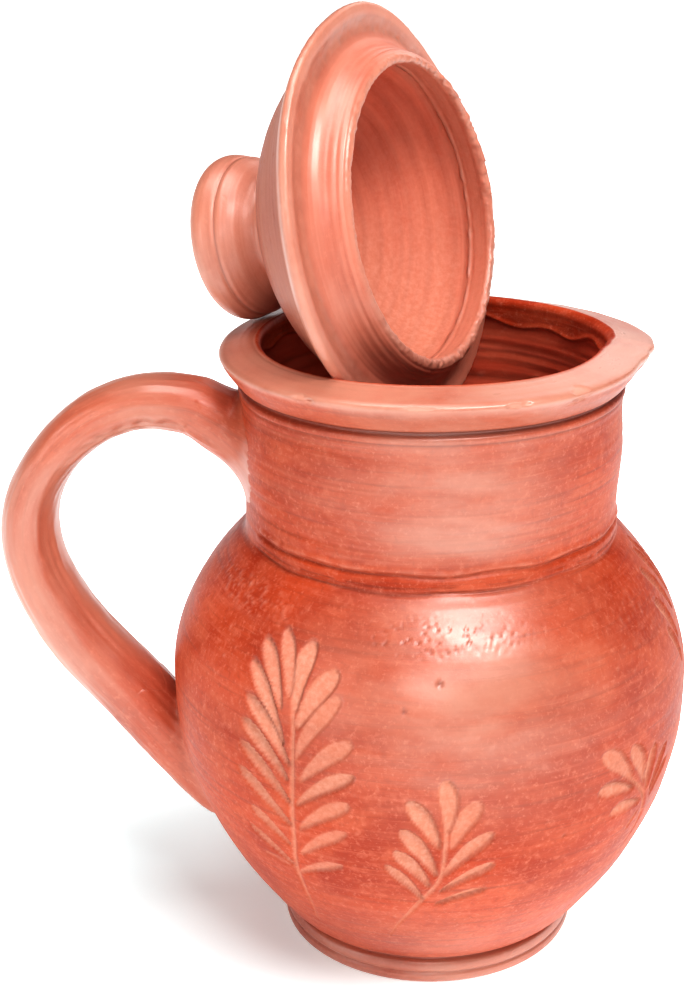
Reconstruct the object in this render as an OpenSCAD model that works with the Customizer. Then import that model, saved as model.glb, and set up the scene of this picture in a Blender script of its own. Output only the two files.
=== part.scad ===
// Terracotta water jug with a pinched spout, a pulled strap handle and a loose lid with a big knob.
// Frame: origin on the jug's turning axis at the foot plane, +Z up, +X towards the spout, -X the handle.
// The lid is drawn as it was stood in the mouth: on edge, its hollow underside facing the spout side.

/* [Jug] */
// Height of the foot disc and its rolled bead, which is the part of the jug that touches the table
foot_h = 8; // [6:0.5:9]
// Radius of the foot disc
foot_r = 44; // [43.8:0.1:45]
// Height where the belly ends and the neck begins, at the two incised lines
belly_top = 128; // [127:0.5:129]
// Height where the thrown neck ends and the rolled rim begins
neck_top = 170; // [168:0.5:171]
// Height of the rim's inner edge, the highest line of the jug
rim_top = 182.6; // [181:0.1:184]
// Radius of the rim's widest ridge
rim_r = 58.7; // [57.5:0.1:60]
// Radius of the mouth at the rim's inner edge
mouth_r = 47.8; // [47.6:0.1:48.4]
// How far the rim is pinched outward at the spout
spout_out = 4; // [0:0.5:6]
// Facets round the rim, a number of flats on the modelled clay ring
rim_steps = 96; // [48:8:120]

/* [Handle] */
// Compass angle of the handle's middle plane, measured from the spout
handle_az = 177; // [174:0.5:184]
// Facets round the strap's oval section
strap_sides = 24; // [16:4:32]
// Stations between two drawn points of the strap's path
strap_fine = 2; // [1:1:3]

/* [Lid] */
// Outer radius of the lid's flange
flange_r = 57; // [55:0.1:57.2]
// Thickness of the flange at its edge
flange_t = 3; // [2.5:0.1:3.4]
// Outer radius of the collar where it leaves the flange
collar_r = 46; // [45:0.1:46.4]
// Depth of the collar below the flange
collar_h = 8.5; // [7:0.1:9]
// Radius of the knob's widest part
knob_r = 23.6; // [22:0.1:24.2]
// How far the hand-set knob sits off the lid's centre, towards the lid's upper side as it stands
knob_off = 0.8; // [0.8:0.1:2]
// Lean of the lid's own axis above the horizontal where it stands in the mouth
lid_tilt = 12; // [11.5:0.1:12.5]
// Compass direction that the lid's hollow side faces, measured from the spout
lid_az = -25.2; // [-26:0.1:-24]
// Place of the middle of the flange's underside, along X
lid_x = -8.8; // [-9.2:0.1:-8.4]
// Place of the middle of the flange's underside, along Y
lid_y = 3.6; // [3.2:0.1:4]
// Place of the middle of the flange's underside, above the foot plane
lid_z = 215.4; // [215.2:0.1:217]

/* [Hidden] */
$fn = 96;
slip = [0.78, 0.40, 0.28];   // burnished slip
clay = [0.85, 0.52, 0.40];   // bare clay

// ---------- curves ----------
// Catmull-Rom value at u between points 1 and 2 of four
function cr(a, b, c, d, u) =
    0.5 * ((2 * b) + (c - a) * u + (2 * a - 5 * b + 4 * c - d) * u * u + (3 * b - a - 3 * c + d) * u * u * u);
// A smooth run through all the points of p, k steps to each span
function smooth_run(p, k) = let (n = len(p))
    concat([for (i = [0 : n - 2], j = [0 : k - 1])
        cr(p[max(i - 1, 0)], p[i], p[i + 1], p[min(i + 2, n - 1)], j / k)], [p[n - 1]]);
function flip(p) = [for (i = [len(p) - 1 : -1 : 0]) p[i]];

// ---------- jug profiles, radius and height ----------
foot_outer = [[foot_r - 1.4, 0], [foot_r - 0.4, 0.7], [foot_r, 2], [foot_r - 0.1, 3.2], [foot_r - 0.6, 3.8],
              [foot_r - 0.1, 4.4], [foot_r, 5.6], [foot_r - 0.4, 7], [foot_r - 1.2, foot_h]];
belly_outer = smooth_run([[foot_r - 1.2, foot_h], [45.6, 10.5], [53, 20], [61, 32], [67, 44], [71.5, 56], [74.2, 68],
               [75, 80], [74, 92], [70.5, 104], [63.4, 116], [56.6, 124], [53, belly_top]], 3);
belly_inner = smooth_run([[36, foot_h], [43, 13.5], [51, 24], [57.5, 36], [62.5, 48], [66.5, 60], [69, 72], [69.5, 82],
               [68, 93], [64, 104], [57, 115], [50.6, 122], [48, belly_top]], 3);
neck_outer = smooth_run([[53, belly_top], [52.7, 131], [52.6, 138], [53.2, 146], [53.7, 153], [53.5, 160], [53.3, 166],
               [53.8, neck_top]], 2);
neck_inner = smooth_run([[48, belly_top], [47.9, 138], [48.2, 150], [48.3, 160], [48.4, neck_top]], 2);

// Everything inside the jug's outer skin, for cutting the handle and its clay pads to the wall
module jug_outside() {
    rotate_extrude() polygon(concat([[0, 2], [foot_r - 1.2, 2], [foot_r - 1.2, foot_h]], belly_outer, neck_outer, [[0, neck_top]]));
}

module foot() color(slip)
    rotate_extrude() polygon(concat([[0, 0]], foot_outer, [[0, foot_h]]));

module belly() color(slip)
    rotate_extrude() polygon(concat(belly_outer, flip(belly_inner)));

module neck() color(slip)
    rotate_extrude() polygon(concat(neck_outer, flip(neck_inner)));

// ---------- rim: rolled, bevelled and pinched into a spout ----------
// Outward push of the rim at compass angles about the spout, as a share of spout_out
pinch = [[-60, 0.05], [-45, 0], [-30, -0.05], [-16, -0.05], [-6, 0.4], [1, 0.85], [8, 1], [19, 0.88], [33, 0.6],
         [45, 0.3], [58, -0.1], [72, -0.35], [95, -0.3], [125, -0.15], [150, 0]];
function step_at(t, a, i = 0) = i >= len(t) - 2 || a < t[i + 1][0] ? i : step_at(t, a, i + 1);
function push(a) = a <= pinch[0][0] || a >= pinch[len(pinch) - 1][0] ? 0 :
    let (i = step_at(pinch, a), u = (a - pinch[i][0]) / (pinch[i + 1][0] - pinch[i][0]), s = u * u * (3 - 2 * u))
    spout_out * (pinch[i][1] * (1 - s) + pinch[i + 1][1] * s);
// radius, height, share of the push
rim_line = [[53.8, neck_top, 0], [53.5, 171.2, 0.02], [54.4, 172.6, 0.1], [56, 174.6, 0.4], [57.8, 176.8, 0.8],
            [rim_r, 178.6, 1], [rim_r, 179.8, 1], [57.8, 180.8, 0.97], [55, 181.7, 0.9], [51, 182.4, 0.8],
            [mouth_r + 0.9, rim_top, 0.7], [mouth_r, 182, 0.65], [mouth_r, 180, 0.5], [mouth_r + 0.4, 175, 0.15],
            [48.4, neck_top, 0]];
module rim() {
    m = len(rim_line);
    function at(k) = let (a = -180 + 360 * k / rim_steps, d = push(a))
        [for (q = rim_line) [(q[0] + q[2] * d) * cos(a), (q[0] + q[2] * d) * sin(a), q[1]]];
    pts = [for (k = [0 : rim_steps - 1]) each at(k)];
    faces = [for (k = [0 : rim_steps - 1], i = [0 : m - 1]) let (k2 = (k + 1) % rim_steps, i2 = (i + 1) % m)
        each [[k * m + i, k2 * m + i2, k2 * m + i], [k * m + i, k * m + i2, k2 * m + i2]]];
    color(slip) polyhedron(points = pts, faces = faces, convexity = 6);
}

// ---------- handle: an oval strap pulled from the neck to the belly ----------
// distance from the turning axis, height, thickness in the handle's plane, breadth across it
strap = [[45, 153, 19, 24], [53, 156.5, 18, 23], [62, 159.6, 16.8, 21.5], [72, 161.8, 15.6, 20.5], [82, 162, 15, 20],
         [91, 159.4, 14.6, 20], [99.8, 154.4, 14, 20], [107.3, 147.4, 14, 20], [113.4, 139, 14.6, 20],
         [117, 130, 15.6, 20], [118, 120, 16.6, 20], [116.2, 110, 17.8, 20.5], [111.4, 99, 19, 21],
         [104.5, 88, 19.8, 21.5], [96.5, 78.5, 20.2, 22], [88, 69.2, 20.4, 22.5], [80, 60, 20.6, 23], [72, 50.5, 20.6, 24],
         [62, 39.5, 20, 25]];
strap_run = smooth_run(strap, strap_fine);
// A closed sweep through stations s: an oval slice square to the path at each
module sweep(s, sides) {
    n = len(s);
    function tang(i) = let (a = s[max(i - 1, 0)], b = s[min(i + 1, n - 1)], d = [b[0] - a[0], b[1] - a[1]]) d / norm(d);
    // a slightly squared oval, so that the strap's faces are flatter than an ellipse
    function ov(t) = let (c = cos(t), q = sin(t), e = pow(abs(c), 2.4) + pow(abs(q), 2.4), f = pow(e, -1 / 2.4)) [f * c, f * q];
    pts = [for (i = [0 : n - 1], k = [0 : sides - 1]) let (t = tang(i), o = ov(360 * k / sides), q = s[i])
        [q[0] - t[1] * o[0] * q[2] / 2, o[1] * q[3] / 2, q[1] + t[0] * o[0] * q[2] / 2]];
    side = [for (i = [0 : n - 2], k = [0 : sides - 1]) let (k2 = (k + 1) % sides)
        each [[i * sides + k, (i + 1) * sides + k2, (i + 1) * sides + k], [i * sides + k, i * sides + k2, (i + 1) * sides + k2]]];
    caps = [[for (k = [sides - 1 : -1 : 0]) k], [for (k = [0 : sides - 1]) (n - 1) * sides + k]];
    rotate([0, 0, handle_az]) polyhedron(points = pts, faces = concat(side, caps), convexity = 6);
}
function part_of(p, a, b) = [for (i = [a : b]) p[i]];

module handle() color(slip) difference() {
    sweep(strap_run, strap_sides);
    jug_outside();
}

// Pads of soft clay pressed round both ends of the strap and smeared on to the wall
module upper_lute() color(slip) difference() {
    sweep([[44, 145.5, 30, 34], [50, 148.2, 25, 32], [56, 151.4, 20.5, 28.5], [62, 155, 17.6, 25], [68, 158.6, 15, 21.6],
           [75, 161, 12.6, 18]], 20);
    sweep(part_of(strap_run, 0, 4 * strap_fine), strap_sides);
    jug_outside();
}
module lower_lute() color(slip) difference() {
    sweep([[55.6, 34.8, 21.6, 37], [62.6, 42.6, 21.6, 34.5], [69.6, 50.6, 21.4, 31], [76.8, 58.7, 21, 27], [83, 65.7, 20, 23.4],
           [90, 73.6, 18.4, 19.6]], 20);
    sweep(part_of(strap_run, 13 * strap_fine, 18 * strap_fine), strap_sides);
    jug_outside();
}

// ---------- lid, drawn seated with its axis up and its flange's underside at height 0 ----------
module in_mouth() {
    // +Z of the lid points away from its hollow side
    translate([lid_x, lid_y, lid_z]) rotate([0, 0, lid_az]) rotate([0, lid_tilt - 90 - 2 * lid_tilt, 0]) children();
}
dome_outer = concat([[flange_r - 0.6, 0], [flange_r, 0.8], [flange_r, flange_t - 0.8]],
    smooth_run([[flange_r - 0.6, flange_t], [54, 5], [50, 9], [45, 14.6], [40, 19.8], [35, 24], [30, 27.4], [25, 30.2],
                [20, 32.6], [16.8, 34.5]], 2));
dome_inner = smooth_run([[0, 29], [10, 28.4], [18, 26.4], [26, 22.4], [33, 16.6], [38, 9.6], [40.6, 3.6], [41.5, 0]], 2);
module lid_dome() color(slip) in_mouth()
    rotate_extrude() polygon(concat(dome_inner, [[collar_r + 1.5, 0], [collar_r + 2.5, 0.7], [flange_r - 3.6, 0.7], [flange_r - 2.6, 0]],
                                    dome_outer, [[0, 34.5]]));

module lid_collar() color(clay) in_mouth()
    rotate_extrude() polygon([[41.5, 0], [41, -2.4], [39.6, -5.6], [39.4, 0.6 - collar_h], [40, -collar_h],
                              [41.8, -collar_h], [42.6, 0.6 - collar_h], [44, 2.6 - collar_h], [collar_r - 0.3, -1.6], [collar_r, 0]]);

knob_outer = concat(smooth_run([[16.8, 34.5], [16.4, 36.4], [17.8, 38.8], [20, 41.2], [21.6, 43.6], [22.4, 45.6]], 2),
    [[22.2, 46]], smooth_run([[22.6, 46.4], [knob_r - 0.4, 48.4], [knob_r, 50.4], [knob_r - 0.3, 52.4], [22, 54.2], [19.8, 55]], 2));
module lid_knob() color(slip) in_mouth() translate([knob_off, 0, 0])
    rotate_extrude() polygon(concat([[0, 34.5]], knob_outer, [[16.5, 54.4], [12, 53], [6, 52.2], [0, 52]]));

foot();
belly();
neck();
rim();
handle();
upper_lute();
lower_lute();
lid_dome();
lid_collar();
lid_knob();
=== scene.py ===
"""The looks of a hand-thrown terracotta water jug with its lid stood on edge in the mouth.
Every piece is a lathe or sweep surface built here in numpy, with the potter's marks as real relief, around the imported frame.
Lengths are millimetres until the meshes are made."""

import math

import bpy
import numpy as np
from mathutils import Matrix


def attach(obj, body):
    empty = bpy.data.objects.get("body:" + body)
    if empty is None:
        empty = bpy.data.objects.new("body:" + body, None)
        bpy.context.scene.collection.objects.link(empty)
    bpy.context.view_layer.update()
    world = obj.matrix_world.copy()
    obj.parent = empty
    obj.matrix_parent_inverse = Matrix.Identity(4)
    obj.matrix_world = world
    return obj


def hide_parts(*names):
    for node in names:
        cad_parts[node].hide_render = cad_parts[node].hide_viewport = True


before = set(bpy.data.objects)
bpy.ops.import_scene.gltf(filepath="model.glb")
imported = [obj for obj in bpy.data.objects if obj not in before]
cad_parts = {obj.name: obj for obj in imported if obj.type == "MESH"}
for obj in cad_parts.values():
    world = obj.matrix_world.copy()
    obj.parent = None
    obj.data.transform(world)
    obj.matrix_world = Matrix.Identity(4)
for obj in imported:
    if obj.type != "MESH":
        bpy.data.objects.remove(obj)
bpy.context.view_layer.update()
RAD = math.pi / 180


# ---------------------------------------------------------------- noise and curves


def smooth(a, b, x):
    t = np.clip((x - a) / (b - a), 0, 1)
    return t * t * (3 - 2 * t)


KEPT = {}


def kept(key, make):
    if key not in KEPT:
        KEPT[key] = make()
    return KEPT[key]


def ripples(seed, az, q, ks, waves, terms=14):
    """A sum of cosines that closes round the wheel. ks: whole turns allowed; waves: shortest and longest wave up the wall in mm. Its rms is about 1."""

    def draw():
        rs = np.random.RandomState(seed)
        out = []
        for _ in range(terms):
            k = rs.randint(ks[0], ks[1] + 1)
            w = 2 * math.pi / math.exp(rs.uniform(math.log(waves[0]), math.log(waves[1])))
            out.append((k, w * rs.choice([-1, 1]), rs.uniform(0, 6.283)))
        return out

    out = 0
    for k, w, phase in kept((seed, ks, waves, terms), draw):
        out = out + np.cos(k * az + w * q + phase)
    return out * math.sqrt(2 / terms)


def lattice(u, v, nu, seed):
    """Smooth value noise from 0 to 1 on a grid of nu cells round and any number up."""
    t = kept((seed, nu, 512), lambda: np.random.RandomState(seed).rand(512, nu))
    iu, iv = np.floor(u).astype(int), np.floor(v).astype(int)
    fu, fv = u - iu, v - iv
    fu, fv = fu * fu * (3 - 2 * fu), fv * fv * (3 - 2 * fv)
    a, b = t[iv % 512, iu % nu], t[iv % 512, (iu + 1) % nu]
    c, d = t[(iv + 1) % 512, iu % nu], t[(iv + 1) % 512, (iu + 1) % nu]
    return (a * (1 - fu) + b * fu) * (1 - fv) + (c * (1 - fu) + d * fu) * fv


def grain(az, q, radius, size, seed, octaves=3):
    """Fractal value noise, about -1 to 1, with cells of that size in mm."""
    out, amp, total = 0, 1.0, 0.0
    for o in range(octaves):
        nu = max(4, int(round(2 * math.pi * radius / size * 2**o)))
        out = out + amp * (lattice(az / (2 * math.pi) * nu, q / size * 2**o, nu, seed + o) - 0.5)
        total += amp * 0.5
        amp *= 0.55
    return out / total


def spots(az, q, radius, cell, keep, size, seed):
    """Scattered round marks, 1 at their middles: keep is the share of cells that have one, size its radius range in mm."""
    nu = max(4, int(round(2 * math.pi * radius / cell)))
    t = kept((seed, nu, 5), lambda: np.random.RandomState(seed).rand(5, 256, nu))
    u, v = az / (2 * math.pi) * nu, q / cell
    iu, iv = np.floor(u).astype(int), np.floor(v).astype(int)
    out = np.zeros(np.broadcast(u, v).shape)
    for du in (-1, 0, 1):
        for dv in (-1, 0, 1):
            cu, cv = (iu + du) % nu, (iv + dv) % 256
            on = t[0, cv, cu] < keep
            x = (u - (iu + du) - t[1, cv, cu]) * cell
            y = (v - (iv + dv) - t[2, cv, cu]) * cell
            r = size[0] + (size[1] - size[0]) * t[3, cv, cu] ** 2
            out = np.maximum(out, on * (0.5 + 0.5 * t[4, cv, cu]) * np.exp(-((x * x + y * y) / (r * r)) ** 1.5))
    return out


def curve(points, per_span=10):
    """A smooth line through the given points, by cubic spans in chord length."""
    p = np.array(points, float)
    t = np.concatenate([[0], np.cumsum(np.maximum(np.linalg.norm(np.diff(p[:, :2], axis=0), axis=1), 1e-6))])
    s = np.diff(p, axis=0) / np.diff(t)[:, None]
    m = np.empty_like(p)
    m[0], m[-1] = s[0], s[-1]
    h = np.diff(t)
    m[1:-1] = (h[1:, None] * s[:-1] + h[:-1, None] * s[1:]) / (h[:-1] + h[1:])[:, None]
    out = []
    for i in range(len(p) - 1):
        x = np.linspace(0, 1, per_span, endpoint=False)[:, None]
        out.append(
            (2 * x**3 - 3 * x**2 + 1) * p[i]
            + (x**3 - 2 * x**2 + x) * h[i] * m[i]
            + (-2 * x**3 + 3 * x**2) * p[i + 1]
            + (x**3 - x**2) * h[i] * m[i + 1]
        )
    return np.vstack(out + [p[-1:]])


class Outline:
    """A lathe outline: r, z and any further columns against the length along it."""

    def __init__(self, points, per_span=10):
        self.p = curve(points, per_span)
        self.s = np.concatenate([[0], np.cumsum(np.linalg.norm(np.diff(self.p[:, :2], axis=0), axis=1))])
        keep = np.concatenate([[True], np.diff(self.s) > 1e-9])
        self.p, self.s = self.p[keep], self.s[keep]
        self.length = self.s[-1]

    def at(self, s):
        return [np.interp(s, self.s, self.p[:, i]) for i in range(self.p.shape[1])]

    def normal(self, s):
        r0, z0 = self.at(s - 0.3)[:2]
        r1, z1 = self.at(s + 0.3)[:2]
        dr, dz = r1 - r0, z1 - z0
        n = np.hypot(dr, dz) + 1e-12
        return dz / n, -dr / n

    def find(self, r, z, lo=0, hi=1e9):
        d = np.hypot(self.p[:, 0] - r, self.p[:, 1] - z) + 1e3 * ((self.s < lo) | (self.s > hi))
        return self.s[np.argmin(d)]


# ---------------------------------------------------------------- meshes


class Rings:
    """Closed rings of points joined into one closed mesh. Neighbouring rings have the same number of points, or one has a whole multiple of the other's."""

    def __init__(self):
        self.points, self.normals, self.data, self.starts, self.counts = [], [], [], [], []
        self.total = 0
        self.cap_after = set()
        self.v = []

    def add(self, points, normals, data, v):
        self.starts.append(self.total)
        self.counts.append(len(points))
        self.total += len(points)
        self.points.append(points)
        self.normals.append(normals)
        self.data.append(data)
        self.v.append(v)

    def cap(self):
        """The band from the last ring to the next is a plain hidden face."""
        self.cap_after.add(len(self.counts) - 1)

    def mesh(self, name, loop_back, cap_normal=(0, 0, 1)):
        quads, tris, quad_cap, tri_cap, quad_uv, tri_uv = [], [], [], [], [], []
        n = len(self.counts)
        pairs = [(i, i + 1) for i in range(n - 1)] + ([(n - 1, 0)] if loop_back else [])
        for i, j in pairs:
            a, b, sa, sb = self.counts[i], self.counts[j], self.starts[i], self.starts[j]
            cap = i in self.cap_after
            va, vb = self.v[i], self.v[j] if j > i else 1.0
            if a == b == 1:
                continue
            if a == b:
                k = np.arange(a)
                k1 = (k + 1) % a
                quads.append(np.stack([sa + k, sa + k1, sb + k1, sb + k], 1))
                u0, u1 = k / a, (k + 1) / a
                one = np.ones(a)
                quad_uv.append(np.stack([u0, va * one, u1, va * one, u1, vb * one, u0, vb * one], 1))
                quad_cap.append(np.full(a, cap))
            else:
                big, small, sbig, ssmall, vbig, vsmall, flip = (a, b, sa, sb, va, vb, False) if a > b else (b, a, sb, sa, vb, va, True)
                m = big // small
                k = np.arange(big)
                near = (k // m) if small > 1 else np.zeros(big, int)
                t = np.stack([sbig + k, sbig + (k + 1) % big, ssmall + near], 1)
                uv = np.stack([k / big, vbig + 0 * k, (k + 1) / big, vbig + 0 * k, (near + 0.5) / small if small > 1 else (k + 0.5) / big, vsmall + 0 * k], 1)
                if small > 1:
                    k2 = np.arange(small)
                    t2 = np.stack([ssmall + k2, sbig + ((k2 + 1) * m) % big, ssmall + (k2 + 1) % small], 1)
                    uv2 = np.stack([k2 / small, vsmall + 0 * k2, (k2 + 1) / small, vbig + 0 * k2, (k2 + 1) / small, vsmall + 0 * k2], 1)
                    t, uv = np.vstack([t, t2]), np.vstack([uv, uv2])
                if flip:
                    t, uv = t[:, ::-1], uv.reshape(-1, 3, 2)[:, ::-1].reshape(-1, 6)
                tris.append(t)
                tri_uv.append(uv)
                tri_cap.append(np.full(len(t), cap))
        co = np.vstack(self.points) * 0.001
        no = np.vstack(self.normals)
        quads = np.vstack(quads) if quads else np.zeros((0, 4), int)
        tris = np.vstack(tris) if tris else np.zeros((0, 3), int)
        quad_uv = np.vstack(quad_uv).reshape(-1, 2) if len(quads) else np.zeros((0, 2))
        tri_uv = np.vstack(tri_uv).reshape(-1, 2) if len(tris) else np.zeros((0, 2))
        quad_cap = np.concatenate(quad_cap) if len(quads) else np.zeros(0, bool)
        tri_cap = np.concatenate(tri_cap) if len(tris) else np.zeros(0, bool)
        both = np.vstack([quads[:, :3], quads[:, [0, 2, 3]], tris])
        c = co[both]
        volume = np.einsum("ij,ij->i", c[:, 0], np.cross(c[:, 1], c[:, 2])).sum() / 6
        if volume < 0:
            quads, tris = quads[:, ::-1], tris[:, ::-1]
            quad_uv = quad_uv.reshape(-1, 4, 2)[:, ::-1].reshape(-1, 2)
            tri_uv = tri_uv.reshape(-1, 3, 2)[:, ::-1].reshape(-1, 2)
        loops = np.concatenate([quads.ravel(), tris.ravel()])
        sizes = np.concatenate([np.full(len(quads), 4), np.full(len(tris), 3)])
        me = bpy.data.meshes.new(name)
        me.vertices.add(len(co))
        me.vertices.foreach_set("co", co.astype(np.float32).ravel())
        me.loops.add(len(loops))
        me.loops.foreach_set("vertex_index", loops.astype(np.int32))
        me.polygons.add(len(sizes))
        me.polygons.foreach_set("loop_start", np.concatenate([[0], np.cumsum(sizes)[:-1]]).astype(np.int32))
        me.polygons.foreach_set("use_smooth", np.ones(len(sizes), bool))
        me.update(calc_edges=True)
        uv = me.uv_layers.new(name="OFBake")
        uv.data.foreach_set("uv", np.vstack([quad_uv, tri_uv]).astype(np.float32).ravel())
        for key in self.data[0]:
            values = np.concatenate([np.atleast_1d(d[key]) if np.ndim(d[key]) < 2 else d[key] for d in self.data])
            kind = "FLOAT" if values.ndim == 1 else "FLOAT_VECTOR"
            at = me.attributes.new(key, kind, "POINT")
            at.data.foreach_set("value" if kind == "FLOAT" else "vector", values.astype(np.float32).ravel())
        ln = no[loops]
        cap_loop = np.concatenate([np.repeat(quad_cap, 4), np.repeat(tri_cap, 3)])
        if cap_loop.any():
            # a hidden face keeps its own flat direction
            pn = np.zeros(len(me.polygons) * 3, np.float32)
            me.polygons.foreach_get("normal", pn)
            ln[cap_loop] = np.repeat(pn.reshape(-1, 3), sizes, axis=0)[cap_loop]
        me.normals_split_custom_set(ln.tolist())
        ob = bpy.data.objects.new(name, me)
        bpy.context.scene.collection.objects.link(ob)
        return ob


def columns(n, front=None, more=1.3):
    """n angles round the wheel, in radians, closer together round the direction front."""
    a = np.linspace(-math.pi, math.pi, 2049)
    d = np.ones_like(a) if front is None else 1 + more * np.clip((np.cos(a - front) + 0.35) / 0.6, 0, 1)
    c = np.concatenate([[0], np.cumsum((d[1:] + d[:-1]) / 2)])
    return np.interp(np.arange(n) / n * c[-1], c, a)


def rows(outline, s0, s1, step, dense=()):
    """Stations along an outline from s0 to s1, about step apart, closer by a factor near each (place, half width, factor)."""
    s = np.linspace(s0, s1, max(64, int(abs(s1 - s0) * 12)))
    d = np.ones_like(s) / step
    for place, half, factor in dense:
        d *= 1 + (factor - 1) * np.exp(-(((s - place) / half) ** 2))
    c = np.concatenate([[0], np.cumsum((d[1:] + d[:-1]) / 2 * np.abs(np.diff(s)))])
    n = max(2, int(round(c[-1])))
    return np.interp(np.linspace(0, c[-1], n + 1), c, s)


def grid(rings, fn, az, stations, outward, v0, v1, e=0.12):
    """Rings of the surface fn(az, s) -> (points, data), with normals from the neighbouring points. The end rings look a step past themselves, so that pieces which meet there agree."""
    rows_ = [fn(az, np.full_like(az, s)) for s in stations]
    points = [r[0] for r in rows_]
    n = len(stations)
    step = e if stations[-1] > stations[0] else -e
    span = abs(stations[-1] - stations[0]) + 1e-9
    for i in range(n):
        if i in (0, n - 1):
            up_ = fn(az, np.full_like(az, stations[i] + step))[0] - fn(az, np.full_like(az, stations[i] - step))[0]
        else:
            up_ = points[i + 1] - points[i - 1]
        round_ = np.roll(points[i], -1, 0) - np.roll(points[i], 1, 0)
        nn = np.cross(round_, up_) * (1 if step > 0 else -1)
        size = np.linalg.norm(nn, axis=1)[:, None]
        middle = points[i] - points[i].mean(0)
        nn = np.where(size > 1e-9, nn / np.maximum(size, 1e-12), middle / (np.linalg.norm(middle, axis=1)[:, None] + 1e-9))
        if outward is None:
            nn = nn * np.sign(np.median(np.einsum("ij,ij->i", nn, middle)) or 1)
        else:
            nn = nn * outward
        rings.add(points[i], nn, rows_[i][1], v0 + (v1 - v0) * abs(stations[i] - stations[0]) / span)


# ---------------------------------------------------------------- the jug's wall

FOOT = [[42.6, 0], [43.6, 0.7], [44, 2], [43.9, 3.2], [43.4, 3.8], [43.9, 4.4], [44, 5.6], [43.6, 7], [42.8, 8]]
BELLY = [[45.6, 10.5], [53, 20], [61, 32], [67, 44], [71.5, 56], [74.2, 68], [75, 80], [74, 92], [70.5, 104], [63.4, 116], [56.6, 124], [53, 128]]
NECK = [[52.7, 131], [52.6, 138], [53.2, 146], [53.7, 153], [53.5, 160], [53.3, 166], [53.8, 170]]
RIM = [
    [53.4, 171.2, 0.02], [54.4, 172.6, 0.1], [56.1, 174.7, 0.4], [57.7, 177, 0.8], [58.6, 178.6, 1], [58.95, 179.3, 1], [58.75, 180, 1], [58, 180.5, 0.98],
    [55.4, 181.2, 0.92], [52, 182, 0.82], [49.6, 182.5, 0.74], [48.4, 182.4, 0.69], [47.7, 181.6, 0.63], [47.8, 179.5, 0.48], [48.2, 175, 0.15], [48.4, 170, 0],
]
NECK_IN = [[48.3, 160], [48.2, 150], [47.9, 138], [48, 128]]
BELLY_IN = [[50.6, 122], [57, 115], [64, 104], [68, 93], [69.5, 82], [69, 72], [66.5, 60], [62.5, 48], [57.5, 36], [51, 24], [43, 13.5], [36, 8]]
PINCH = [[-60, 0.05], [-45, 0], [-30, -0.05], [-16, -0.05], [-6, 0.4], [1, 0.85], [8, 1], [19, 0.88], [33, 0.6], [45, 0.3], [58, -0.1], [72, -0.35], [95, -0.3], [125, -0.15], [150, 0]]
SPOUT_OUT = 4

plain = lambda pts: [[r, z, 0] for r, z in pts]
wall = Outline(plain(FOOT + BELLY + NECK) + RIM + plain(NECK_IN + BELLY_IN))
S_LIP = wall.s[np.argmax(wall.p[:, 1])]
S_FOOT = wall.find(42.8, 8, 0, S_LIP)
S_BELLY = wall.find(53, 128, 0, S_LIP)
S_NECK = wall.find(53.8, 170, 0, S_LIP)
S_RIM_IN = wall.find(48.4, 170, S_LIP)
S_NECK_IN = wall.find(48, 128, S_LIP)
S_END = wall.length
outer = wall.s <= S_LIP


def s_of(z):
    """Length up the outside at height z."""
    return np.interp(z, wall.p[outer, 1], wall.s[outer])


def skin_radius(z):
    return np.interp(z, wall.p[outer, 1], wall.p[outer, 0])


def pinch(az):
    a = ((az / RAD + 60) % 360) - 60
    xs = [p[0] for p in PINCH] + [300]
    ys = [p[1] for p in PINCH] + [PINCH[0][1]]
    out = np.full_like(a, ys[0])
    for i in range(len(xs) - 1):
        t = np.clip((a - xs[i]) / (xs[i + 1] - xs[i]), 0, 1)
        out = np.where(a >= xs[i], ys[i] + (ys[i + 1] - ys[i]) * t * t * (3 - 2 * t), out)
    return out


# The carved sprigs. Each leaf: azimuth and height of its foot and of its tip, width, and how deep it is cut (0 to 1).
FROND = [
    [-121, 101, -126.5, 116.5, 4.2, 0.8], [-122.5, 97.5, -131.5, 113, 4.4, 0.9], [-121, 88.5, -133, 107, 4.2, 1], [-119.5, 83, -132, 98.5, 4.0, 1],
    [-120, 78.5, -132.5, 91.5, 3.9, 1], [-119.5, 71, -132.5, 85, 3.3, 0.95], [-120, 63.5, -133, 77, 3.1, 0.9], [-121.5, 56, -131, 65.5, 2.7, 0.8],
    [-122, 47.5, -133, 57.5, 2.2, 0.8], [-122.5, 47, -131, 48.5, 1.0, 0.4],
    [-119, 98, -118, 115.5, 5.2, 1], [-118, 94, -110.5, 110, 5.6, 0.8], [-118, 85.5, -109, 104, 5.0, 0.45], [-117, 79, -105.5, 93, 5.0, 0.55],
    [-118, 71.5, -105, 84, 4.3, 0.85], [-118, 63.5, -106, 75, 4.4, 0.6], [-119, 54, -107, 66, 3.8, 0.45], [-121.5, 45.5, -109, 53.5, 3.3, 0.5],
]
FROND_STEM = [[-121.5, 106], [-120, 101], [-119, 94.5], [-118.7, 85], [-119, 73], [-120, 60], [-121.7, 48.5], [-122, 38], [-122.5, 30], [-125, 22]]
SPRIG = [
    [-86, 68, -86.5, 84.5, 4.9, 0.75], [-87.5, 63, -94, 78, 4.8, 1], [-88, 53, -95.5, 69, 4.3, 1], [-89.5, 48.5, -97, 61.5, 3.8, 1], [-91, 42.5, -99, 56, 2.8, 1],
    [-85, 63, -79.5, 78, 5.4, 0.55], [-86.5, 53, -76.5, 67.5, 4.7, 0.85], [-87, 46.5, -75.5, 56.5, 3.5, 0.9], [-88, 41, -76.5, 47, 2.8, 0.9],
]
SPRIG_STEM = [[-86, 72], [-86.3, 63], [-87.3, 51.5], [-89, 47], [-92, 41.5], [-94, 37.5], [-98, 30], [-100.5, 24]]
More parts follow.
